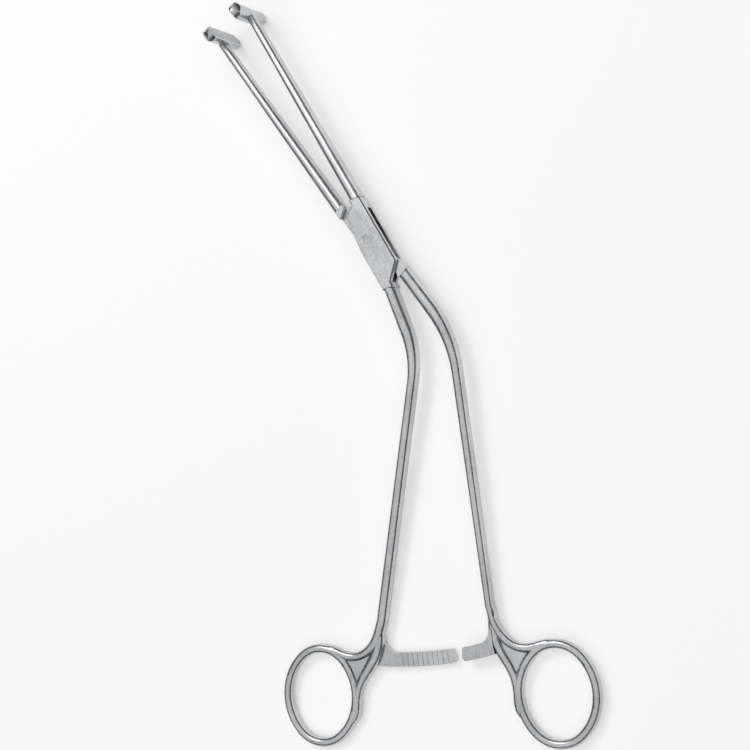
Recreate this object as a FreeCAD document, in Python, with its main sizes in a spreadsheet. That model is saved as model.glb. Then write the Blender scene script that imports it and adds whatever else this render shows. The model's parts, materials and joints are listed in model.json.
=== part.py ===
import FreeCAD, Part
import math
import os
import Sketcher
from FreeCAD import Placement, Rotation, Vector

# Capsule forceps: an angled box-lock instrument with T-shaped jaws, finger rings and a ratchet.
# Z is the pivot axis, the handles run towards -Y and the jaws point up and to the left.
# Both halves are drawn closed, jaw face to jaw face on the closing plane, which holds the pivot.
# Bearings of the shanks are measured from -Y towards +X, and of the jaws from +Y towards -X.

SIZES = {
    # Box lock
    "box_thickness": 5.8,
    "box_half_width": 4.3,
    "jaw_end_corner": 3.0,
    "jaw_end_length": 9.7,
    "jaw_end_slant": 31.0,
    "shank_end_length": 10.7,
    "shank_end_slant": 41.5,
    "ear_taper_start": 2.0,
    "ear_thickness": 1.6,
    "slot_half_length": 9.0,
    "slot_wall": 0.8,
    "slot_side_gap": 0.05,
    "jaw_stop_gap": 1.7,
    "shank_stop_gap": 0.95,
    "waist_half_width": 2.8,
    "waist_shoulder_start": 3.0,
    "pin_radius": 1.3,
    "pin_running_gap": 0.03,
    "pin_flare": 0.4,
    "ear_edge_break": 0.35,
    "neck_overlap": 2.0,
    "shoulder_half_width": 3.7,
    "root_inset": 0.7,
    "root_width": 3.6,
    # Jaws
    "jaw_angle": 32.3,
    "rest_opening": 6.0,
    "jaw_length": 88.7,
    "jaw_root_start": 13.2,
    "jaw_root_depth": 5.4,
    "jaw_tip_inset": 1.0,
    "jaw_tip_width": 2.3,
    "jaw_tip_depth": 3.6,
    "face_gap": 0.16,
    "head_span": 18.0,
    "head_flat": 13.6,
    "head_height": 5.2,
    "head_depth": 3.4,
    "head_shoulder": 1.0,
    "head_end_bow": 3.4,
    "head_end_round": 4.0,
    "head_end_drop": 1.8,
    "groove_depth": 0.35,
    "groove_width": 0.5,
    "groove_pitch": 0.78,
    # Shanks
    "box_root_start": 12.3,
    "box_neck_length": 3.6,
    "box_neck_radius": 30.0,
    "box_flank_bearing": 22.5,
    "box_flank_length": 22.4,
    "box_knee_radius": 30.0,
    "box_shank_bearing": -8.0,
    "box_shank_length": 108.6,
    "through_root_start": 15.0,
    "through_flank_length": 25.4,
    "through_knee_radius": 40.0,
    "through_shank_bearing": 2.7,
    "through_shank_length": 107.2,
    "shank_root_depth": 5.5,
    "shank_flank_width": 4.0,
    "shank_width": 2.9,
    "shank_depth": 4.3,
    "box_foot_width": 3.3,
    "through_foot_width": 2.3,
    "shank_foot_depth": 4.1,
    "shank_foot_rise": 27.0,
    # Finger rings
    "ring_offset": 17.4,
    "ring_lean": 6.5,
    "ring_inner_width": 21.3,
    "ring_inner_height": 26.3,
    "ring_end_radius": 10.2,
    "ring_band": 2.7,
    "ring_depth": 3.4,
    "web_depth": 1.8,
    # Ratchet
    "arm_rise": 15.2,
    "arm_width": 4.1,
    "arm_depth": 2.1,
    "arm_gap": 0.1,
    "arm_root_round": 4.0,
    "arm_tip_round": 1.2,
    "arm_tip_slant": 0.45,
    "long_arm_tip": 12.6,
    "short_arm_tip": 7.8,
    "tooth_pitch": 0.75,
    "tooth_setback": 1.1,
    "tooth_height": 0.6,
    "tooth_land": 0.15,
    "long_arm_teeth": 10,
    "short_arm_teeth": 4,
    "relief_gap": 0.35,
    "relief_turn": 0.35,
    "relief_reach": 2.0,
}

# The corner radius of a section, as a share of its width
JAW_ROOT_ROUNDNESS = 0.38
SHANK_ROUNDNESS = 0.42
RING_ROUNDNESS = 0.45
# The size of a section that ends inside a ring's band, as a share of the band
SUNK_SHARE = 0.8
# How far out the arm root's end lies inside the arm, as a multiple of the arm's inner radius
SUNK_REACH = 1.01


class Dim:
    """A driving size, or sizes worked out from them: its number and its expression on the sheet."""

    def __init__(self, value, text):
        self.value = float(value)
        self.text = text

    def __add__(self, other):
        other = as_dim(other)
        return Dim(self.value + other.value, f"({self.text} + {other.text})")

    def __sub__(self, other):
        other = as_dim(other)
        return Dim(self.value - other.value, f"({self.text} - {other.text})")

    def __mul__(self, other):
        other = as_dim(other)
        return Dim(self.value * other.value, f"({self.text} * {other.text})")

    def __truediv__(self, other):
        other = as_dim(other)
        return Dim(self.value / other.value, f"({self.text} / {other.text})")

    def __radd__(self, other):
        return as_dim(other) + self

    def __rsub__(self, other):
        return as_dim(other) - self

    def __rmul__(self, other):
        return as_dim(other) * self

    def __neg__(self):
        return as_dim(-1) * self


def as_dim(number):
    """A plain number as a Dim; a Dim as it is."""
    return number if isinstance(number, Dim) else Dim(number, repr(float(number)))


def size(name):
    """A driving size from the sheet."""
    return Dim(SIZES[name], f"Sizes.{name}")


def sine(angle):
    return Dim(math.sin(math.radians(angle.value)), f"sin({angle.text})")


def cosine(angle):
    return Dim(math.cos(math.radians(angle.value)), f"cos({angle.text})")


def root_of(square):
    """The square root of a Dim."""
    return Dim(math.sqrt(square.value), f"sqrt({square.text})")


doc = FreeCAD.newDocument("CapsuleForceps")
sheet = doc.addObject("Spreadsheet::Sheet", "Sizes")
for row, (alias, number) in enumerate(SIZES.items(), start=1):
    sheet.set(f"A{row}", alias)
    sheet.set(f"B{row}", str(number))
    sheet.setAlias(f"B{row}", alias)
doc.recompute()

UPRIGHT = Vector(0, 1, 0)
ACROSS = Vector(0, 0, 1)


def bind(feature, prop, value):
    """Ties one property of a feature to the sheet."""
    feature.setExpression(prop, as_dim(value).text)


def new_body(name):
    """An empty body with its name as its label."""
    body = doc.addObject("PartDesign::Body", name)
    body.Label = name
    return body


def plane_of(body, role):
    """A body's own origin plane or axis."""
    return next(item for item in body.Origin.OriginFeatures if item.Role == role)


def new_sketch(body, name, role, place=(0, 0, 0), axis=ACROSS, angle=0):
    """A sketch on an origin plane, shifted in that plane's frame and turned about one of its axes."""
    sketch = body.newObject("Sketcher::SketchObject", name)
    sketch.AttachmentSupport = [(plane_of(body, role), "")]
    sketch.MapMode = "FlatFace"
    base = [as_dim(part) for part in place]
    turn = as_dim(angle)
    sketch.AttachmentOffset = Placement(Vector(*(part.value for part in base)), Rotation(axis, turn.value))
    for letter, part in zip("xyz", base):
        bind(sketch, f"AttachmentOffset.Base.{letter}", part)
    if abs(turn.value) > 1e-9:
        bind(sketch, "AttachmentOffset.Rotation.Angle", turn)
    return sketch


def pin_value(sketch, constraint, value):
    """Adds a dimension to a sketch and ties it to the sheet."""
    index = sketch.addConstraint(constraint)
    sketch.renameConstraint(index, f"size{index}")
    bind(sketch, f"Constraints.size{index}", value)


def pin_point(sketch, geometry, end, x, y):
    """Places one point of a sketch at an (x, y) that follows the sheet."""
    x, y = as_dim(x), as_dim(y)
    pin_value(sketch, Sketcher.Constraint("DistanceX", -1, 1, geometry, end, x.value), x)
    pin_value(sketch, Sketcher.Constraint("DistanceY", -1, 1, geometry, end, y.value), y)


def polygon(sketch, points):
    """A closed outline of straight edges through the given points."""
    corners = [(as_dim(x), as_dim(y)) for x, y in points]
    spots = [Vector(x.value, y.value, 0) for x, y in corners]
    lines = [
        sketch.addGeometry(Part.LineSegment(spots[i], spots[(i + 1) % len(spots)]), False)
        for i in range(len(spots))
    ]
    for i, line in enumerate(lines):
        sketch.addConstraint(Sketcher.Constraint("Coincident", line, 2, lines[(i + 1) % len(lines)], 1))
        pin_point(sketch, line, 1, *corners[i])


def bowed_outline(sketch, points, radii):
    """A closed outline of edges through the points: an arc where a radius is given, else straight."""
    corners = [(as_dim(x), as_dim(y)) for x, y in points]
    spots = [Vector(x.value, y.value, 0) for x, y in corners]
    edges = []
    for i, radius in enumerate(radii):
        start, end = spots[i], spots[(i + 1) % len(spots)]
        if radius is None:
            edges.append(sketch.addGeometry(Part.LineSegment(start, end), False))
            continue
        bend = abs(as_dim(radius).value)
        chord = end - start
        normal = Vector(chord.y, -chord.x, 0).normalize()
        sagitta = bend - math.sqrt(bend ** 2 - (chord.Length / 2) ** 2)
        side = 1 if as_dim(radius).value > 0 else -1
        middle = (start + end) * 0.5 + normal * (sagitta * side)
        edges.append(sketch.addGeometry(Part.Arc(start, middle, end), False))
    for i, edge in enumerate(edges):
        follower = edges[(i + 1) % len(edges)]
        here = 2 if radii[i] is None or as_dim(radii[i]).value > 0 else 1
        there = 1 if radii[(i + 1) % len(edges)] is None or as_dim(radii[(i + 1) % len(edges)]).value > 0 else 2
        sketch.addConstraint(Sketcher.Constraint("Coincident", edge, here, follower, there))
        pin_point(sketch, edge, 1 if here == 2 else 2, *corners[i])
        if radii[i] is not None:
            bend = as_dim(radii[i])
            bend = bend if bend.value > 0 else -bend
            pin_value(sketch, Sketcher.Constraint("Radius", edge, bend.value), bend)


def rounded_rectangle(sketch, width, height, corner):
    """A centred rectangle with its corners rounded."""
    width, height, corner = as_dim(width), as_dim(height), as_dim(corner)
    a, b, r = width.value / 2, height.value / 2, corner.value
    corners = [(a - r, r - b, 270), (a - r, b - r, 0), (r - a, b - r, 90), (r - a, r - b, 180)]
    arcs, lines = [], []
    for x, y, first in corners:
        circle = Part.Circle(Vector(x, y, 0), ACROSS, r)
        arc = Part.ArcOfCircle(circle, math.radians(first), math.radians(first + 90))
        arcs.append(sketch.addGeometry(arc, False))
    ends = [
        (Vector(a, r - b, 0), Vector(a, b - r, 0)),
        (Vector(a - r, b, 0), Vector(r - a, b, 0)),
        (Vector(-a, b - r, 0), Vector(-a, r - b, 0)),
        (Vector(r - a, -b, 0), Vector(a - r, -b, 0)),
    ]
    for start, end in ends:
        lines.append(sketch.addGeometry(Part.LineSegment(start, end), False))
    for i in range(4):
        sketch.addConstraint(Sketcher.Constraint("Tangent", arcs[i], 2, lines[i], 1))
        sketch.addConstraint(Sketcher.Constraint("Tangent", lines[i], 2, arcs[(i + 1) % 4], 1))
        sketch.addConstraint(Sketcher.Constraint("Vertical" if i % 2 == 0 else "Horizontal", lines[i]))
    for i in range(1, 4):
        sketch.addConstraint(Sketcher.Constraint("Equal", arcs[0], arcs[i]))
    pin_value(sketch, Sketcher.Constraint("Radius", arcs[0], r), corner)
    pin_value(sketch, Sketcher.Constraint("DistanceX", -1, 1, lines[0], 1, a), width / 2)
    pin_value(sketch, Sketcher.Constraint("DistanceX", -1, 1, lines[2], 1, -a), -(width / 2))
    pin_value(sketch, Sketcher.Constraint("DistanceY", -1, 1, lines[1], 1, b), height / 2)
    pin_value(sketch, Sketcher.Constraint("DistanceY", -1, 1, lines[3], 1, -b), -(height / 2))


def oval(sketch, half_width, half_height, end_radius):
    """A four-arc oval about the origin, its first edge starting at the right-hand end."""
    side_radius = (half_width * half_width + (half_height - end_radius) * (half_height - end_radius)
                   - end_radius * end_radius) / (2 * (half_width - end_radius))
    a, b, r, big = half_width.value, half_height.value, end_radius.value, side_radius.value
    lift, shift = b - r, big - a
    turn = math.atan2(lift, shift)
    joint = Vector(-shift + big * math.cos(turn), big * math.sin(turn), 0)

    def arc(start, middle, end):
        return sketch.addGeometry(Part.Arc(start, middle, end), False)

    def mirrored(point, x_sign, y_sign):
        return Vector(point.x * x_sign, point.y * y_sign, 0)

    half = Vector(-shift + big * math.cos(turn / 2), big * math.sin(turn / 2), 0)
    edges = [
        arc(Vector(a, 0, 0), half, joint),
        arc(joint, Vector(0, b, 0), mirrored(joint, -1, 1)),
        arc(mirrored(joint, -1, 1), Vector(-a, 0, 0), mirrored(joint, -1, -1)),
        arc(mirrored(joint, -1, -1), Vector(0, -b, 0), mirrored(joint, 1, -1)),
        arc(mirrored(joint, 1, -1), mirrored(half, 1, -1), Vector(a, 0, 0)),
    ]
    for i in range(5):
        sketch.addConstraint(Sketcher.Constraint("Tangent", edges[i], 2, edges[(i + 1) % 5], 1))
    pin_point(sketch, edges[1], 3, 0, half_height - end_radius)
    pin_point(sketch, edges[3], 3, 0, end_radius - half_height)
    pin_value(sketch, Sketcher.Constraint("Radius", edges[1], r), end_radius)
    pin_value(sketch, Sketcher.Constraint("Radius", edges[3], r), end_radius)
    pin_value(sketch, Sketcher.Constraint("Radius", edges[0], big), side_radius)
    pin_value(sketch, Sketcher.Constraint("Radius", edges[2], big), side_radius)
    pin_value(sketch, Sketcher.Constraint("DistanceY", -1, 1, edges[0], 1, 0), as_dim(0))


def section(body, name, x, y, bearing, width, depth, roundness):
    """A rounded section across a shank at (x, y), square to its bearing and centred on mid-thickness."""
    sketch = new_sketch(body, name, "XZ_Plane", (x, 0, -as_dim(y)), UPRIGHT, bearing)
    rounded_rectangle(sketch, width, depth, as_dim(width) * roundness)
    return sketch


def pad(body, sketch, name, length, start=None):
    """Pads a sketch both ways about mid-thickness, or upwards by a length from a start level."""
    feature = body.newObject("PartDesign::Pad", name)
    feature.Profile = sketch
    if start is None:
        feature.SideType = "Symmetric"
    bind(feature, "Length", length)
    doc.recompute()
    return feature


def pocket(body, sketch, name, length, both_ways=True, reverse=False):
    """Cuts a sketch both ways about its plane, or one way from it."""
    feature = body.newObject("PartDesign::Pocket", name)
    feature.Profile = sketch
    if both_ways:
        feature.SideType = "Symmetric"
    feature.Reversed = reverse
    bind(feature, "Length", length)
    doc.recompute()
    return feature


def loft(body, sketches, name, ruled=False):
    """Adds a loft through the sketches in order."""
    feature = body.newObject("PartDesign::AdditiveLoft", name)
    feature.Profile = sketches[0]
    feature.Sections = sketches[1:]
    feature.Ruled = ruled
    doc.recompute()
    return feature


def edges_where(shape, test):
    """The names of the shape's edges that pass a test."""
    return [f"Edge{i}" for i, edge in enumerate(shape.Edges, start=1) if test(edge)]


def dress(body, kind, name, edges, prop, value):
    """Rounds or chamfers the named edges of the body's last feature."""
    base = body.Tip
    feature = body.newObject(f"PartDesign::{kind}", name)
    feature.Base = (base, edges)
    bind(feature, prop, value)
    doc.recompute()
    return feature


def in_jaw_frame(u, v):
    """Where a point lies that is u across and v along the closed jaws."""
    u, v = as_dim(u), as_dim(v)
    angle = size("jaw_angle")
    return u * cosine(angle) - v * sine(angle), u * sine(angle) + v * cosine(angle)


def jaw_end(u, gap=0):
    """A point of the slanted line across the jaw end of the box, or a gap beyond it, in the jaw frame."""
    slant = size("jaw_end_slant")
    return u, size("jaw_end_length") + gap + (u + size("jaw_end_corner")) * sine(slant) / cosine(slant)


def shank_end(u, gap=0):
    """The same at the shank end of the box."""
    slant = size("shank_end_slant")
    run = size("box_half_width") - u
    return u, -(size("shank_end_length") + gap + run * sine(slant) / cosine(slant))


def add_jaw(body, side, name):
    """Jaw shank and T-head of the half whose jaw lies to the right (+1) or left (-1) of the plane."""
    root_v = size("jaw_root_start")
    tip_v = size("jaw_length") - size("head_height") / 2
    root_u = side * (size("root_inset") + size("root_width") / 2)
    tip_u = side * (size("jaw_tip_inset") + size("jaw_tip_width") / 2)
    angle = size("jaw_angle")
    root = section(body, f"{name}JawRoot", *in_jaw_frame(root_u, root_v), angle,
                   size("root_width"), size("jaw_root_depth"), JAW_ROOT_ROUNDNESS)
    tip = section(body, f"{name}JawTip", *in_jaw_frame(tip_u, tip_v), angle,
                  size("jaw_tip_width"), size("jaw_tip_depth"), SHANK_ROUNDNESS)
    loft(body, [root, tip], f"{name}JawShank", ruled=True)

    face_u = side * size("face_gap") / 2
    x, y = in_jaw_frame(face_u, tip_v)
    tall, long, flat = size("head_height") / 2, size("head_span") / 2, size("head_flat") / 2
    shoulder, back = size("head_shoulder"), size("head_depth") - size("head_shoulder")
    round_back = (tall * tall + back * back) / (2 * back)
    profile = new_sketch(body, f"{name}HeadProfile", "XY_Plane", (x, y, 0), ACROSS, angle)
    rim = [(0, -side * tall), (side * shoulder, -side * tall), (side * shoulder, side * tall), (0, side * tall)]
    bowed_outline(profile, rim, [None, round_back, None, None])
    pad(body, profile, f"{name}Head", size("head_span"))

    ends = new_sketch(body, f"{name}HeadEnds", "YZ_Plane", (y, 0, x), UPRIGHT, angle)
    bow, wide, far = size("head_end_bow"), tall + 1, long + 1
    for way in (1, -1):
        rim = [(-wide, -far), (wide, -far), (wide, -flat), (tall, -flat), (0, -long), (-tall, -flat), (-wide, -flat)]
        rim = [(way * across, way * level) for across, level in rim]
        bowed_outline(ends, rim, [None, None, None, -bow, -bow, None, None])
    pocket(body, ends, f"{name}HeadEndCut", 2 * size("head_depth") + 2)

    corners = new_sketch(body, f"{name}HeadCorners", "XZ_Plane", (x, 0, -y), UPRIGHT, angle + 90 * (1 - side))
    back, low, clear = size("head_depth"), long - size("head_end_drop"), size("head_depth") + 1
    bend = size("head_end_round")
    bowed_outline(corners, [(-1, long), (0, long), (back, low), (clear, low), (clear, far), (-1, far)],
                  [None, -bend, None, None, None, None])
    bowed_outline(corners, [(-1, -far), (clear, -far), (clear, -low), (back, -low), (0, -long), (-1, -long)],
                  [None, None, None, -bend, None, None])
    pocket(body, corners, f"{name}HeadCornerCut", size("head_height") + 2)

    half = size("groove_width") / 2
    first = tip_v - 2 * size("groove_pitch")
    groove = new_sketch(body, f"{name}Groove", "XY_Plane", (*in_jaw_frame(face_u, first), 0), ACROSS, angle)
    lip = side * size("groove_depth") / 4
    polygon(groove, [(-lip, -half), (side * size("groove_depth"), 0), (-lip, half)])
    cut = pocket(body, groove, f"{name}GrooveCut", size("head_span") + 2)
    pattern = body.newObject("PartDesign::LinearPattern", f"{name}Grooves")
    pattern.Originals = [cut]
    pattern.Direction = (groove, ["V_Axis"])
    pattern.Mode = "Extent"
    bind(pattern, "Length", 4 * size("groove_pitch"))
    pattern.Occurrences = 5
    body.Tip = pattern
    doc.recompute()


def spots_on(edge):
    """The ends and the middle of an edge."""
    return [edge.valueAt(edge.FirstParameter + share * (edge.LastParameter - edge.FirstParameter))
            for share in (0, 0.5, 1)]


class Shank:
    """The line that a handle shank follows: straight legs from the box, with an arc at each corner."""

    def __init__(self, side, root_start, legs, radii, spreads):
        self.side = side
        self.legs = legs
        self.radii = radii
        self.spreads = spreads
        self.bearing = legs[-1][0]
        self.foot = spreads[-1]
        root_u = -side * (size("root_inset") + size("root_width") / 2)
        self.corners = [in_jaw_frame(root_u, -root_start)]
        for bearing, length in legs:
            x, y = self.corners[-1]
            self.corners.append((x + length * sine(bearing), y - length * cosine(bearing)))

    def runs(self):
        """Each stretch as its two ends (x, y, bearing), with the arc's centre and radius if it bends."""
        place = self.corners[0]
        for i, (bearing, _) in enumerate(self.legs):
            corner = self.corners[i + 1]
            if i + 1 == len(self.legs):
                back = size("shank_foot_rise")
                foot = corner[0] - back * sine(bearing), corner[1] + back * cosine(bearing)
                yield (*place, bearing), (*foot, bearing), None
                return
            after, bend = self.legs[i + 1][0], self.radii[i]
            half_turn = (bearing - after) / 2
            reach = bend * sine(half_turn) / cosine(half_turn)
            start = corner[0] - reach * sine(bearing), corner[1] + reach * cosine(bearing)
            end = corner[0] + reach * sine(after), corner[1] - reach * cosine(after)
            yield (*place, bearing), (*start, bearing), None
            yield (*start, bearing), (*end, after), bend
            place = end

    def beside(self, p, q):
        """A point p towards the ring from the shank's line and q back up it from the ring's level."""
        x, y = self.corners[-1]
        x, y = x - q * sine(self.bearing), y + q * cosine(self.bearing)
        return x - self.side * p * cosine(self.bearing), y - self.side * p * sine(self.bearing)

    def crossing(self, radius):
        """Where the shank's last leg lies at a radius about the pivot."""
        x, y = self.corners[-1]
        across = x * cosine(self.bearing) + y * sine(self.bearing)
        along = root_of(radius * radius - across * across)
        return across * cosine(self.bearing) + along * sine(self.bearing), \
            across * sine(self.bearing) - along * cosine(self.bearing)

    def turned(self, towards_ring):
        """The shank's bearing, turned towards its ring by an angle."""
        return self.bearing - self.side * as_dim(towards_ring)

    def ring_turn(self):
        """The bearing of the ring's long axis."""
        return self.bearing + self.side * size("ring_lean")


def add_handle(body, shank, name):
    """Handle shank, finger ring, and the two roots that carry the ring, with the web between them."""
    for i, (start, end, bend) in enumerate(shank.runs()):
        first = section(body, f"{name}Shank{i}Start", *start, *shank.spreads[i], SHANK_ROUNDNESS)
        last = section(body, f"{name}Shank{i}End", *end, *shank.spreads[i + 1], SHANK_ROUNDNESS)
        if bend is None:
            loft(body, [first, last], f"{name}Shank{i}", ruled=True)
            continue
        path = new_sketch(body, f"{name}Shank{i}Path", "XY_Plane")
        centre = start[0] - bend * cosine(start[2]), start[1] - bend * sine(start[2])
        spots = [Vector(point[0].value, point[1].value, 0) for point in (end, start)]
        middle = (start[2] + end[2]) / 2
        halfway = Vector((centre[0] + bend * cosine(middle)).value, (centre[1] + bend * sine(middle)).value, 0)
        arc = path.addGeometry(Part.Arc(spots[0], halfway, spots[1]), False)
        pin_point(path, arc, 1, *end[:2])
        pin_point(path, arc, 2, *start[:2])
        pin_value(path, Sketcher.Constraint("Radius", arc, bend.value), bend)
        sweep = body.newObject("PartDesign::AdditivePipe", f"{name}Shank{i}")
        sweep.Profile = first
        sweep.Sections = [last]
        sweep.Transformation = "Multisection"
        sweep.Spine = (path, [])
        doc.recompute()

    foot = shank.foot
    band = size("ring_band"), size("ring_depth")
    sunk = size("ring_band") * SUNK_SHARE, size("ring_depth") * SUNK_SHARE
    middle = (foot[0] + band[0]) / 2 + 0.4, (foot[1] + band[1]) / 2
    inner_side = size("ring_offset") - size("ring_inner_width") / 2 - size("ring_band") / 2
    top = size("ring_inner_height") / 2 + size("ring_band") / 2
    # Each station: across from the shank's line, up from the ring's level, turn to the ring, (width, depth)
    roots = {
        "Inner": [(0, size("shank_foot_rise"), 0, foot), (0.2, 19, 6, middle), (2.5, 11.5, 19, middle),
                  (inner_side - 0.5, 5.0, 9, band), (inner_side - 0.4, 0.5, -5, band),
                  (inner_side + 1.2, -6.5, 22, sunk)],
        "Outer": [(0, size("shank_foot_rise"), 0, foot), (0.7, 22.4, 13, foot), (4.8, top + 1.3, 52, band),
                  (9.7, top - 0.6, 84, band), (14.2, top - 0.1, 95, band), (18.0, top + 0.1, 84, sunk)],
    }
    for label, stations in roots.items():
        sections = [section(body, f"{name}{label}Root{i}", *shank.beside(p, q), shank.turned(turn), *spread,
                            SHANK_ROUNDNESS)
                    for i, (p, q, turn, spread) in enumerate(stations)]
        loft(body, sections, f"{name}{label}Root")

    web = new_sketch(body, f"{name}WebOutline", "XY_Plane")
    polygon(web, [shank.beside(0.8, 20), shank.beside(4.8, top + 0.6), shank.beside(10.8, top - 1.2),
                  shank.beside(inner_side + 0.3, 3.5)])
    pad(body, web, f"{name}Web", size("web_depth"))

    centre = shank.beside(size("ring_offset"), 0)
    turn = shank.ring_turn()
    half_width = (size("ring_inner_width") + size("ring_band")) / 2
    half_height = (size("ring_inner_height") + size("ring_band")) / 2
    path = new_sketch(body, f"{name}RingPath", "XY_Plane", (*centre, 0), ACROSS, turn)
    oval(path, half_width, half_height, size("ring_end_radius"))
    start = centre[0] + half_width * cosine(turn), centre[1] + half_width * sine(turn)
    profile = section(body, f"{name}RingSection", *start, turn, *band, RING_ROUNDNESS)
    ring = body.newObject("PartDesign::AdditivePipe", f"{name}Ring")
    ring.Profile = profile
    ring.Spine = (path, [])
    doc.recompute()


def on_arc(radius, bearing):
    """A point at a radius and bearing about the pivot."""
    return radius * sine(bearing), -radius * cosine(bearing)


def bearing_of(point):
    """The bearing at which a point lies about the pivot."""
    x, y = point
    return Dim(math.degrees(math.atan2(x.value, -y.value)), f"atan2({x.text}; -1 * {y.text})")


def add_arm(body, shank, name, tip, level):
    """Ratchet arm about the pivot, with its rounded root, on one level of the thickness."""
    outer = arm_radius + size("arm_width") / 2
    inner = arm_radius - size("arm_width") / 2
    root = bearing_of(shank.crossing(arm_radius))
    slant = size("arm_tip_slant")
    away = shank.side
    corners = [on_arc(outer, root), on_arc(outer, tip), on_arc(inner, tip - away * slant), on_arc(inner, root)]
    radii = [outer, None, -inner, None]
    if away < 0:
        corners = [corners[1], corners[0], corners[3], corners[2]]
    outline = new_sketch(body, f"{name}ArmOutline", "XY_Plane", (0, 0, level))
    bowed_outline(outline, corners, radii)
    pad(body, outline, f"{name}Arm", size("arm_depth"), level)

    def at_tip(edge):
        low, high = edge.BoundBox.ZMin, edge.BoundBox.ZMax
        nose = on_arc(outer, tip)
        middle = edge.CenterOfMass
        near = math.hypot(middle.x - nose[0].value, middle.y - nose[1].value)
        return high - low > 1 and edge.BoundBox.DiagonalLength - (high - low) < 0.01 and near < 0.1

    dress(body, "Fillet", f"{name}ArmNose", edges_where(body.Shape, at_tip), "Radius", size("arm_tip_round"))

    bend = size("arm_root_round")
    edge = shank.foot[0] * 0.3
    turn = shank.bearing
    base = shank.beside(0, 0)
    side_part = -shank.side * (base[0] * cosine(turn) + base[1] * sine(turn)) - edge - bend
    down_part = base[1] * cosine(turn) - base[0] * sine(turn)
    rise = -down_part - root_of((inner - bend) * (inner - bend) - side_part * side_part)
    centre = shank.beside(-(edge + bend), rise)
    reach = inner / (inner - bend)
    touch = centre[0] * reach, centre[1] * reach
    sunk = touch[0] * SUNK_REACH, touch[1] * SUNK_REACH
    points = [shank.beside(0, rise), shank.beside(0, rise - bend - 1.5), sunk, touch, shank.beside(-edge, rise)]
    radii = [None, None, None, -bend, None]
    if away < 0:
        points.reverse()
        radii = [-bend, None, None, None, None]
    gusset = new_sketch(body, f"{name}ArmRootOutline", "XY_Plane", (0, 0, level))
    bowed_outline(gusset, points, radii)
    pad(body, gusset, f"{name}ArmRoot", size("arm_depth"), level)


def add_teeth(body, shank, name, tip, count, level, upwards):
    """Sawtooth notches across an arm, repeated about the pivot from just behind its tip."""
    away = shank.side
    pitch = size("tooth_pitch")
    first = tip - away * (size("tooth_setback") + pitch / 2)
    outer = arm_radius + size("arm_width") / 2 + 1
    half = (arm_radius * sine(pitch) - size("tooth_land")) / 2
    x, y = on_arc(outer, first)
    notch = new_sketch(body, f"{name}Notch", "XZ_Plane", (x, level, -y), UPRIGHT, first)
    deep = size("tooth_height") * (1 if upwards else -1)
    wall = -half if upwards else half
    polygon(notch, [(-half, 0), (half, 0), (wall, deep)])
    cut = pocket(body, notch, f"{name}NotchCut", size("arm_width") + 2, both_ways=False)
    pattern = body.newObject("PartDesign::PolarPattern", f"{name}Teeth")
    pattern.Originals = [cut]
    pattern.Axis = (plane_of(body, "Z_Axis"), [""])
    pattern.Mode = "Extent"
    pattern.Reversed = away > 0
    bind(pattern, "Angle", pitch * (count - 1))
    bind(pattern, "Occurrences", count)
    body.Tip = pattern
    doc.recompute()


def in_jaw_sketch(body, name, points, height=0):
    """A sketch of an outline given in the jaw frame."""
    sketch = new_sketch(body, name, "XY_Plane", (0, 0, height), ACROSS, size("jaw_angle"))
    polygon(sketch, points)
    return sketch


def round_pocket(body, name, radius):
    """A round hole through the box about the pivot."""
    sketch = new_sketch(body, f"{name}Outline", "XY_Plane")
    circle = sketch.addGeometry(Part.Circle(Vector(0, 0, 0), ACROSS, radius.value), False)
    sketch.addConstraint(Sketcher.Constraint("Coincident", circle, 3, -1, 1))
    pin_value(sketch, Sketcher.Constraint("Radius", circle, radius.value), radius)
    return pocket(body, sketch, name, size("box_thickness") + 2)


root_spread = size("root_width"), size("shank_root_depth")
flank_spread = size("shank_flank_width"), (size("shank_root_depth") + size("shank_depth")) / 2
slim_spread = size("shank_width"), size("shank_depth")
box_shank = Shank(1, size("box_root_start"),
                  [(size("jaw_angle"), size("box_neck_length")),
                   (size("box_flank_bearing"), size("box_flank_length")),
                   (size("box_shank_bearing"), size("box_shank_length"))],
                  [size("box_neck_radius"), size("box_knee_radius")],
                  [root_spread, root_spread, root_spread, flank_spread, slim_spread,
                   (size("box_foot_width"), size("shank_foot_depth"))])
through_shank = Shank(-1, size("through_root_start"),
                      [(size("jaw_angle"), size("through_flank_length")),
                       (size("through_shank_bearing"), size("through_shank_length"))],
                      [size("through_knee_radius")],
                      [root_spread, flank_spread, slim_spread,
                       (size("through_foot_width"), size("shank_foot_depth"))])
arm_spot = box_shank.beside(0, size("arm_rise"))
arm_radius = root_of(arm_spot[0] * arm_spot[0] + arm_spot[1] * arm_spot[1])
half_width, inset = size("box_half_width"), size("root_inset")
jaw_neck = jaw_end(inset)[1] + size("neck_overlap")
shank_neck = -shank_end(-inset)[1] + size("neck_overlap")


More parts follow.
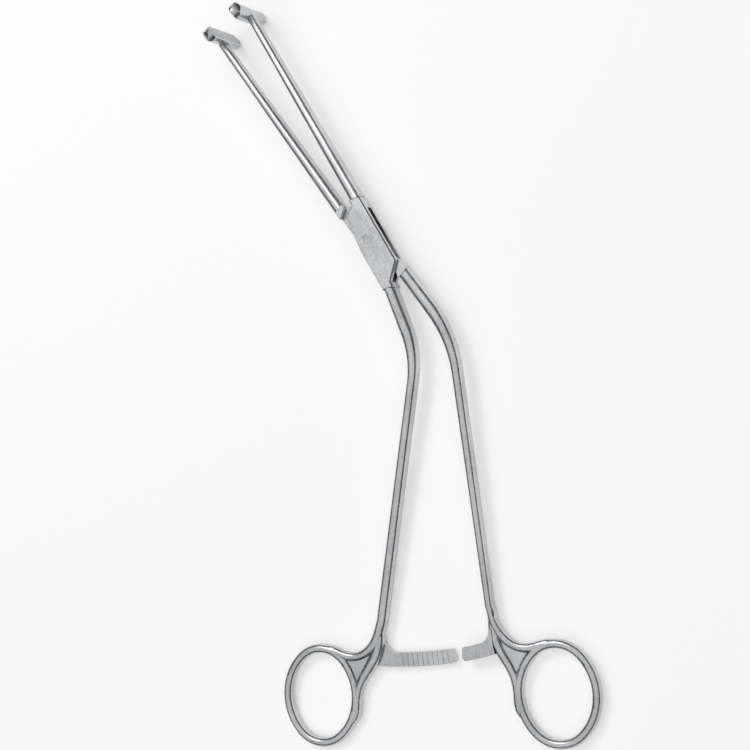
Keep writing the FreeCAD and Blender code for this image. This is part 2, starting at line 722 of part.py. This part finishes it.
def make_box_half():
    """The half with the box: right-hand jaw, two ears with the slot between, left-hand handle."""
    body = new_body("box_half")
    ears = in_jaw_sketch(body, "EarOutline", [
        shank_end(half_width), (half_width, jaw_neck - 1), (inset, jaw_neck), jaw_end(inset),
        jaw_end(-size("jaw_end_corner")), (-half_width, -size("ear_taper_start")),
        (-half_width, 1 - shank_neck), (-inset, -shank_neck), shank_end(-inset)])
    pad(body, ears, "Ears", size("box_thickness"))
    level = SIZES["box_thickness"] / 2
    rims = edges_where(body.Shape, lambda edge: all(abs(abs(point.z) - level) < 1e-6 for point in spots_on(edge)))
    dress(body, "Chamfer", "EarEdges", rims, "Size", size("ear_edge_break"))
    add_jaw(body, 1, "Box")
    add_handle(body, box_shank, "Box")
    arm_level = -size("arm_gap") / 2 - size("arm_depth")
    add_arm(body, box_shank, "Box", size("long_arm_tip"), arm_level)
    add_teeth(body, box_shank, "Box", size("long_arm_tip"), size("long_arm_teeth"), -size("arm_gap") / 2, False)

    wall, low, top, out = size("slot_wall"), -shank_neck - 1, jaw_neck + 1, half_width + 1
    end = size("slot_half_length")
    slot = in_jaw_sketch(body, "SlotOutline", [
        (-wall, low), (out, low), (out, end), (wall, end), (wall, top), (-out, top), (-out, -end), (-wall, -end)])
    pocket(body, slot, "Slot", size("box_thickness") - 2 * size("ear_thickness"))
    round_pocket(body, "PinHole", size("pin_radius"))
    mouths = edges_where(body.Shape, lambda edge: edge.Curve.TypeId == "Part::GeomCircle"
                         and abs(edge.Curve.Radius - SIZES["pin_radius"]) < 1e-6
                         and abs(abs(edge.CenterOfMass.z) - level) < 1e-6)
    dress(body, "Chamfer", "PinHoleFlare", mouths, "Size", size("pin_flare"))
    return body


def make_through_half():
    """The half that passes through the box: left-hand jaw, thin waist, right-hand handle."""
    body = new_body("through_half")
    side, end, play = size("waist_half_width"), size("slot_half_length"), size("slot_wall") / 4
    jaw_gap, shank_gap = size("jaw_stop_gap"), size("shank_stop_gap")
    outer, inner = size("shoulder_half_width"), inset - size("slot_side_gap")
    waist = in_jaw_sketch(body, "WaistOutline", [
        (inset, -shank_neck), shank_end(outer, shank_gap + 1), shank_end(outer, shank_gap),
        (side, -end), (side, 0), (play, end), (-inset, jaw_neck + jaw_gap),
        jaw_end(-outer, jaw_gap + 1), jaw_end(-outer, jaw_gap),
        (-outer, size("waist_shoulder_start")), (-side, 0), (-play, -end)])
    slot = size("box_thickness") - 2 * size("ear_thickness")
    pad(body, waist, "Waist", slot - 2 * size("slot_side_gap"))
    jaw_root, shank_root = size("jaw_root_start"), size("through_root_start")
    shoulder = in_jaw_sketch(body, "JawShoulderOutline", [
        jaw_end(-outer, jaw_gap), jaw_end(-inner, jaw_gap), (-inner, jaw_root + 1), (-outer, jaw_root + 0.5)])
    pad(body, shoulder, "JawShoulder", size("box_thickness"))
    shoulder = in_jaw_sketch(body, "ShankShoulderOutline", [
        shank_end(outer, shank_gap), (outer, -shank_root - 0.5),
        (inner, -shank_root - 1), shank_end(inner, shank_gap)])
    pad(body, shoulder, "ShankShoulder", size("box_thickness"))
    add_jaw(body, -1, "Through")
    add_handle(body, through_shank, "Through")
    arm_level = size("arm_gap") / 2
    add_arm(body, through_shank, "Through", size("short_arm_tip"), arm_level)
    add_teeth(body, through_shank, "Through", size("short_arm_tip"), size("short_arm_teeth"), arm_level, True)

    clear = size("relief_gap")
    outer = arm_radius + size("arm_width") / 2 + clear
    inner = arm_radius - size("arm_width") / 2 - clear
    first = size("short_arm_tip") - size("relief_reach")
    last = size("long_arm_tip") + size("relief_turn")
    relief = new_sketch(body, "ArmReliefOutline", "XY_Plane", (0, 0, arm_level))
    bowed_outline(relief, [on_arc(outer, first), on_arc(outer, last), on_arc(inner, last), on_arc(inner, first)],
                  [outer, None, -inner, None])
    pocket(body, relief, "ArmRelief", size("box_thickness"), both_ways=False)
    round_pocket(body, "PinBore", size("pin_radius") + size("pin_running_gap"))
    body.Placement = Placement(Vector(0, 0, 0), Rotation(ACROSS, SIZES["rest_opening"]))
    bind(body, "Placement.Rotation.Angle", size("rest_opening"))
    return body


def make_lock_pin():
    """The pin, flared into both ears and ground flush with them."""
    body = new_body("lock_pin")
    radius, flare, top = size("pin_radius"), size("pin_flare"), size("box_thickness") / 2
    profile = new_sketch(body, "PinProfile", "XZ_Plane")
    polygon(profile, [(0, -top), (radius + flare, -top), (radius, flare - top),
                      (radius, top - flare), (radius + flare, top), (0, top)])
    turned = body.newObject("PartDesign::Revolution", "PinTurned")
    turned.Profile = profile
    turned.ReferenceAxis = (profile, ["V_Axis"])
    turned.Angle = 360
    doc.recompute()
    return body


parts = [make_box_half(), make_through_half(), make_lock_pin()]
for body in parts:
    bind(body, "Placement.Base.z", size("box_thickness") / 2)
doc.recompute()

for item in doc.Objects:
    if "Invalid" in item.State or "Error" in item.State:
        raise RuntimeError(f"{item.Name} failed: {item.State}")
for body in parts:
    if body.Shape.isNull() or not body.Shape.isValid() or len(body.Shape.Solids) != 1:
        raise RuntimeError(f"{body.Label} is not one sound solid")
os.makedirs("parts", exist_ok=True)
for body in parts:
    body.Shape.exportStep(f"parts/{body.Label}.step")
    print(body.Label, round(body.Shape.Volume, 1), body.Shape.BoundBox)
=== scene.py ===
"""Capsule forceps: satin steel finishes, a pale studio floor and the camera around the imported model.

The instrument lies in the XY plane with its pivot on the Z axis. The handles run towards -Y and the
jaws point up and to the left. Every length is in metres.
"""

import json
import logging
import math
from dataclasses import dataclass
from enum import Enum
from typing import Any, Union

import bpy
import numpy as np
from mathutils import Matrix, Vector

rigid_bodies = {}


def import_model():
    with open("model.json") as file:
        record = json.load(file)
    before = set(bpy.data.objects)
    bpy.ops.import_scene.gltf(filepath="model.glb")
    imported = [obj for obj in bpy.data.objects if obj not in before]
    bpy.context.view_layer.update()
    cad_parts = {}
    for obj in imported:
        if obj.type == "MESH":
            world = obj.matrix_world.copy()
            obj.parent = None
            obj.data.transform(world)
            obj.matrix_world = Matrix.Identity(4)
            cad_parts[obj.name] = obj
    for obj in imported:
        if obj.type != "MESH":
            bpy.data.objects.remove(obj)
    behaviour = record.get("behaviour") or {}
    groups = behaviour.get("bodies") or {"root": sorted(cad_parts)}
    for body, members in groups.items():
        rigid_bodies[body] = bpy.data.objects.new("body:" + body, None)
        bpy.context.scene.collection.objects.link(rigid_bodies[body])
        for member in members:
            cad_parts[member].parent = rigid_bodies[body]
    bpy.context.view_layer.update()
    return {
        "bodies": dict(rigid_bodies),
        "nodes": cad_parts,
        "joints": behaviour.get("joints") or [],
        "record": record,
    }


LOG = logging.getLogger("capsule_forceps")
MM = 0.001
PICTURE = 750
SENSOR = 36.0

Number = Union[int, float]
Colour = tuple[float, float, float, float]
Band = tuple[float, float]


class Run(Enum):
    """The way in which the finishing belt ran over a stretch of the instrument, as a turn about Z."""

    ALONG_JAWS = math.radians(32.3)
    ALONG_HANDLES = 0.0


class Wire:
    """One output socket of a node tree, on which Python arithmetic adds the Math nodes it stands for."""

    def __init__(self, tree: "NodeTree", socket: Any) -> None:
        """Keeps the socket and the node tree that it belongs to.

        Args:
            tree: the node tree that new nodes are added to.
            socket: the output socket to compute with.
        """
        self.tree = tree
        self.socket = socket

    def _math(self, operation: str, first: Any, second: Any = 0.0) -> "Wire":
        """Adds a Math node of two inputs.

        Args:
            operation: the Math node's operation.
            first: its first value or link.
            second: its second value or link.

        Returns:
            The result as a new wire.
        """
        return self.tree.add("ShaderNodeMath", {"operation": operation}, {0: first, 1: second})

    def __add__(self, other: Any) -> "Wire":
        """This value plus another."""
        return self._math("ADD", self, other)

    def __radd__(self, other: Any) -> "Wire":
        """Another value plus this one."""
        return self._math("ADD", other, self)

    def __sub__(self, other: Any) -> "Wire":
        """This value less another."""
        return self._math("SUBTRACT", self, other)

    def __rsub__(self, other: Any) -> "Wire":
        """Another value less this one."""
        return self._math("SUBTRACT", other, self)

    def __mul__(self, other: Any) -> "Wire":
        """This value times another."""
        return self._math("MULTIPLY", self, other)

    def __rmul__(self, other: Any) -> "Wire":
        """Another value times this one."""
        return self._math("MULTIPLY", other, self)

    def __truediv__(self, other: Any) -> "Wire":
        """This value divided by another."""
        return self._math("DIVIDE", self, other)

    def __pow__(self, power: Any) -> "Wire":
        """This value raised to a power."""
        return self._math("POWER", self, power)

    def smooth(self, low: Number, high: Number) -> "Wire":
        """A mask that rises smoothly from 0 where the value is at low to 1 where it is at high.

        Args:
            low: the value at which the mask starts.
            high: the value at which it is full.

        Returns:
            The mask as a new wire.
        """
        settings = {"interpolation_type": "SMOOTHSTEP"}
        return self.tree.add("ShaderNodeMapRange", settings, {0: self, 1: low, 2: high, 3: 0.0, 4: 1.0})


class NodeTree:
    """The node tree of a material or world, to which one method adds every kind of node."""

    def __init__(self, owner: Any, surface: str) -> None:
        """Turns the owner's nodes on and finds its surface node.

        Args:
            owner: the material or world.
            surface: the type of the node that gives its surface or backdrop.
        """
        owner.use_nodes = True
        self.owner = owner
        self.nodes = owner.node_tree.nodes
        self.links = owner.node_tree.links
        self.surface = next(node for node in self.nodes if node.type == surface)

    def feed(self, socket: Any, value: Any) -> None:
        """Links a wire to an input socket, or sets the socket to a plain value.

        Args:
            socket: the input socket.
            value: a Wire, a number or a tuple.
        """
        if isinstance(value, Wire):
            self.links.new(value.socket, socket)
        else:
            socket.default_value = value

    def add(self, kind: str, settings: dict[str, Any], inputs: dict[Any, Any], output: Any = 0) -> Wire:
        """Adds a node, sets it up and connects it.

        Args:
            kind: the node's type name.
            settings: the node's own properties, set before its sockets.
            inputs: values or wires by socket name or number.
            output: the name or number of the output that is wanted.

        Returns:
            The chosen output as a wire.
        """
        node = self.nodes.new(kind)
        for prop, value in settings.items():
            setattr(node, prop, value)
        for key, value in inputs.items():
            self.feed(node.inputs[key], value)
        return Wire(self, node.outputs[output])


class Shader(NodeTree):
    """A node material around one Principled BSDF, with the patterns that the finishes share."""

    def __init__(self, name: str) -> None:
        """Starts a material of the given name."""
        super().__init__(bpy.data.materials.new(name), "BSDF_PRINCIPLED")

    def set(self, **values: Any) -> None:
        """Feeds values or wires to the surface's sockets, named with _ for a space."""
        for name, value in values.items():
            self.feed(self.surface.inputs[name.replace("_", " ")], value)

    def place(self, turn: float = 0.0, stretch: tuple[float, float, float] = (1.0, 1.0, 1.0)) -> Wire:
        """Object coordinates, turned about Z and scaled.

        Args:
            turn: the angle about Z in radians.
            stretch: the scale along each turned axis.

        Returns:
            The coordinates as a wire.
        """
        here = self.add("ShaderNodeTexCoord", {}, {}, "Object")
        turned = self.add("ShaderNodeVectorRotate", {"rotation_type": "Z_AXIS"},
                          {"Vector": here, "Angle": -turn})
        return self.add("ShaderNodeVectorMath", {"operation": "MULTIPLY"}, {0: turned, 1: stretch})

    def noise(self, place: Wire, scale: float, detail: float = 3.0, roughness: float = 0.55) -> Wire:
        """Fractal noise from 0 to 1.

        Args:
            place: the coordinates it is read at.
            scale: features per metre.
            detail: the number of finer layers.
            roughness: how strong the finer layers are.

        Returns:
            The noise as a wire.
        """
        values = {"Vector": place, "Scale": scale, "Detail": detail, "Roughness": roughness}
        return self.add("ShaderNodeTexNoise", {}, values, "Fac")

    def blend_colour(self, mask: Any, first: Any, second: Any) -> Wire:
        """Mixes two colours.

        Args:
            mask: 0 for the first colour and 1 for the second.
            first: a colour or wire.
            second: a colour or wire.

        Returns:
            The mixed colour as a wire.
        """
        return self.add("ShaderNodeMix", {"data_type": "RGBA"}, {0: mask, 6: first, 7: second}, 2)


@dataclass(frozen=True)
class SatinSteel:
    """Belt-finished surgical stainless steel: a fine grain along each member, rubbed bright on its edges,
    with painted shade darkening its crevices.
    """

    colour: Colour = (0.62, 0.625, 0.635, 1.0)
    shade: Colour = (0.44, 0.447, 0.46, 1.0)
    # painted shade: the near-black colour that the ambient occlusion mask paints into crevices, seams and
    # notches
    crevice_painted_shade: Colour = (0.030, 0.031, 0.034, 1.0)
    rubbed: Colour = (0.82, 0.825, 0.83, 1.0)
    roughness: float = 0.27
    roughness_spread: float = 0.14
    edge_radius: float = 0.16 * MM
    crevice_reach: float = 0.9 * MM
    grain_scale: float = 5200.0
    grain_stretch: float = 0.035
    cloud_scale: float = 70.0
    mottle_scale: float = 900.0
    cloud_share: float = 0.6
    tone_band: Band = (0.38, 0.66)
    streak_band: Band = (0.30, 0.70)
    streak_shine: float = 0.35
    edge_band: Band = (0.80, 0.995)
    edge_shine: float = 0.4
    edge_polish: float = 0.08
    # the ambient occlusion range over which the painted crevice shade gives way to the plain steel colour
    painted_shade_band: Band = (0.30, 0.80)
    dull_band: Band = (0.35, 0.85)
    crevice_dullness: float = 0.25
    bump_strength: float = 0.16
    bump_height: float = 0.02 * MM

    def grain(self, shader: Shader, run: Run) -> Wire:
        """Fine streaks along the belt's run: noise that is stretched along the turned Y axis.

        Args:
            shader: the shader that it is added to.
            run: the way in which the belt ran.

        Returns:
            The streaks, from 0 to 1.
        """
        place = shader.place(run.value, (1.0, self.grain_stretch, 1.0))
        return shader.noise(place, self.grain_scale, 2.0)

    def dress(self, shader: Shader, streaks: Wire) -> None:
        """Feeds the steel finish, with painted shade in its crevices, to the shader's surface.

        Args:
            shader: the shader to finish.
            streaks: the grain, from 0 to 1.
        """
        cloudy = shader.noise(shader.place(), self.cloud_scale, 4.0)
        mottle = shader.noise(shader.place(), self.mottle_scale, 5.0, 0.6)
        open_sky = shader.add("ShaderNodeAmbientOcclusion", {"samples": 8},
                              {"Distance": self.crevice_reach}, "AO")
        normal = shader.add("ShaderNodeNewGeometry", {}, {}, "Normal")
        eased = shader.add("ShaderNodeBevel", {"samples": 6}, {"Radius": self.edge_radius})
        along = shader.add("ShaderNodeVectorMath", {"operation": "DOT_PRODUCT"},
                           {0: normal, 1: eased}, "Value")
        edge = 1.0 - along.smooth(*self.edge_band)
        tone = (cloudy * self.cloud_share + mottle * (1.0 - self.cloud_share)).smooth(*self.tone_band)
        shine = streaks.smooth(*self.streak_band) * self.streak_shine + edge * self.edge_shine
        base = shader.blend_colour(tone, self.shade, self.colour)
        base = shader.blend_colour(shine, base, self.rubbed)
        # painted shade: where ambient occlusion finds nearby surfaces, the base colour is darkened to near
        # black in crevices, seams and notches
        base = shader.blend_colour(open_sky.smooth(*self.painted_shade_band), self.crevice_painted_shade, base)
        spread = self.roughness_spread
        rough = self.roughness + (streaks - 0.5) * spread + (mottle - 0.5) * spread * 0.8
        dull = (1.0 - open_sky.smooth(*self.dull_band)) * self.crevice_dullness
        relief = {"Strength": self.bump_strength, "Distance": self.bump_height,
                  "Height": streaks * 0.7 + mottle * 0.3, "Normal": eased}
        bump = shader.add("ShaderNodeBump", {}, relief)
        shader.set(Base_Color=base, Roughness=rough - edge * self.edge_polish + dull, Metallic=1.0,
                   Normal=bump)


@dataclass
class Half:
    """One half of the instrument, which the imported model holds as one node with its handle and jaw."""

    node: str
    # steel grain and edge wear, plus painted shade in the crevices
    finish_and_painted_shade: SatinSteel = SatinSteel()
    bend_start: float = -22.0 * MM
    bend_end: float = -44.0 * MM

    def build(self, frame: dict[str, Any]) -> bpy.types.Object:
        """Dresses the half's node in steel whose grain follows the jaw above the knee and the handle below.


        Returns:
            The dressed object.
        """
        shader = Shader(f"{self.node}_steel")
        depth = shader.add("ShaderNodeSeparateXYZ", {}, {"Vector": shader.place()}, "Y")
        lower = depth.smooth(self.bend_start, self.bend_end)
        jaw_grain = self.finish_and_painted_shade.grain(shader, Run.ALONG_JAWS)
        handle_grain = self.finish_and_painted_shade.grain(shader, Run.ALONG_HANDLES)
        streaks = jaw_grain * (1.0 - lower) + handle_grain * lower
        self.finish_and_painted_shade.dress(shader, streaks)
        return dressed(frame, self.node, shader)


@dataclass
class LockPin:
    """The box lock's pin, whose flared ends are turned and ground flush with the ears."""

    node: str = "lock_pin"
    # steel grain and edge wear, plus painted shade in the crevices
    finish_and_painted_shade: SatinSteel = SatinSteel(shade=(0.36, 0.366, 0.378, 1.0), roughness=0.22)
    ring_pitch: float = 0.11 * MM

    def build(self, frame: dict[str, Any]) -> bpy.types.Object:
        """Dresses the pin in steel with fine turned rings about the pivot.


        Returns:
            The dressed object.
        """
        shader = Shader("lock_pin_steel")
        flat = shader.add("ShaderNodeVectorMath", {"operation": "MULTIPLY"},
                          {0: shader.place(), 1: (1.0, 1.0, 0.0)})
        radius = shader.add("ShaderNodeVectorMath", {"operation": "LENGTH"}, {0: flat}, "Value")
        rings = shader.add("ShaderNodeMath", {"operation": "SINE"},
                           {0: radius * (math.tau / self.ring_pitch)})
        self.finish_and_painted_shade.dress(shader, rings * 0.5 + 0.5)
        return dressed(frame, self.node, shader)


def dressed(frame: dict[str, Any], node: str, shader: Shader) -> bpy.types.Object:
    """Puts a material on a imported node.

    Args:
        node: the node's name.
        shader: the finished shader.

    Returns:
        The node's object.
    """
    piece = frame["nodes"][node]
    piece.data.materials.clear()
    piece.data.materials.append(shader.owner)
    return piece


@dataclass
class Studio:
    """The pale floor, soft lamps and camera."""

    bearing: float = 27.5
    lift: float = 0.36
    distance: float = 500.0 * MM
    focal_pixels: float = 1638.0
    aim: tuple[float, float, float] = (0.92 * MM, -41.44 * MM, 2.9 * MM)
    floor_colour: Colour = (0.90, 0.90, 0.90, 1.0)
    floor_glow: Colour = (0.37, 0.37, 0.37, 1.0)
    horizon: float = 0.03
    zenith: float = 0.80
    dark_band: Band = (0.34, 0.86)
    sky_tint: Colour = (0.985, 0.99, 1.0, 1.0)
    key_spot: tuple[float, float, float] = (-0.34, 0.42, 0.76)
    key_size: float = 0.36
    key_power: float = 1.5
    floor_reach: float = 3.0
    jaw_rest: tuple[float, float] = (67.3 * MM, -6.14 * MM)
    ring_rest: tuple[float, float] = (-155.2 * MM, 1.15 * MM)

    def make_camera(self) -> None:
        """Sets the camera on a line that leans to the right of the pivot axis, with +Y up in the picture."""
        turn, lift = math.radians(self.bearing), math.radians(self.lift)
        back = Vector((math.sin(turn) * math.cos(lift), -math.sin(lift), math.cos(turn) * math.cos(lift)))
        right = Vector((0.0, 1.0, 0.0)).cross(back).normalized()
        up = back.cross(right)
        data = bpy.data.cameras.new("picture_camera")
        data.sensor_width = SENSOR
        data.lens = self.focal_pixels / PICTURE * SENSOR
        data.clip_start = 0.01
        data.clip_end = 20.0
        camera = bpy.data.objects.new("picture_camera", data)
        spot = Vector(self.aim) + back * self.distance
        turned = Matrix((right, up, back)).transposed().to_4x4()
        camera.matrix_world = Matrix.Translation(spot) @ turned
        bpy.context.scene.collection.objects.link(camera)
        bpy.context.scene.camera = camera

    def make_floor(self) -> None:
        """Makes a wide floor that touches the T-heads' lower ends and the rings."""
        (jaw_y, jaw_z), (ring_y, ring_z) = self.jaw_rest, self.ring_rest
        slope = (ring_z - jaw_z) / (ring_y - jaw_y)
        reach = self.floor_reach
        corners = np.array([(x, y, jaw_z + slope * (y - jaw_y)) for x, y in
                            ((-reach, -reach), (reach, -reach), (reach, reach), (-reach, reach))])
        mesh = bpy.data.meshes.new("floor")
        mesh.from_pydata(corners.tolist(), [], [(0, 1, 2, 3)])
        floor = bpy.data.objects.new("floor", mesh)
        bpy.context.scene.collection.objects.link(floor)
        shader = Shader("floor_paper")
        seen = shader.add("ShaderNodeLightPath", {}, {}, "Is Camera Ray")
        mirrored = shader.add("ShaderNodeLightPath", {}, {}, "Is Glossy Ray")
        glow = shader.blend_colour(seen + mirrored, (0.0, 0.0, 0.0, 1.0), self.floor_glow)
        shader.set(Base_Color=self.floor_colour, Roughness=0.9, Specular_IOR_Level=0.0,
                   Emission_Color=glow, Emission_Strength=1.0)
        mesh.materials.append(shader.owner)

    def make_lamp(self, name: str, spot: tuple[float, float, float], size: float, power: float) -> None:
        """Makes a soft square lamp that faces the instrument.

        Args:
            name: the lamp's name.
            spot: where it stands.
            size: its side.
            power: its power in watts.
        """
        data = bpy.data.lights.new(name, "AREA")
        data.shape = "SQUARE"
        data.size = size
        data.energy = power
        lamp = bpy.data.objects.new(name, data)
        lamp.location = spot
        facing = Vector(self.aim) - Vector(spot)
        lamp.rotation_euler = facing.to_track_quat("-Z", "Y").to_euler()
        bpy.context.scene.collection.objects.link(lamp)

    def make_world(self) -> None:
        """Makes a tent of even light overhead that darkens towards the horizon, as in a light box."""
        world = bpy.data.worlds.new("studio")
        tree = NodeTree(world, "BACKGROUND")
        way = tree.add("ShaderNodeTexCoord", {}, {}, "Generated")
        height = tree.add("ShaderNodeSeparateXYZ", {}, {"Vector": way}, "Z")
        overhead = height.smooth(*self.dark_band)
        tree.feed(tree.surface.inputs["Strength"], overhead * (self.zenith - self.horizon) + self.horizon)
        tree.feed(tree.surface.inputs["Color"], self.sky_tint)
        bpy.context.scene.world = world

    def build(self) -> None:
        """Makes the world, floor, lamps and camera."""
        bpy.context.scene.view_settings.view_transform = "Standard"
        self.make_world()
        self.make_floor()
        self.make_lamp("key", self.key_spot, self.key_size, self.key_power)
        self.make_camera()


def main() -> None:
    """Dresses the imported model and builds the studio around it."""
    logging.basicConfig(level=logging.INFO, format="%(message)s")
    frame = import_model()
    pieces = [Half("box_half"), Half("through_half"), LockPin()]
    for piece in pieces:
        made = piece.build(frame)
        LOG.info("dressed %s with %d faces", made.name, len(made.data.polygons))
    Studio().build()


if __name__ == "__main__":
    main()
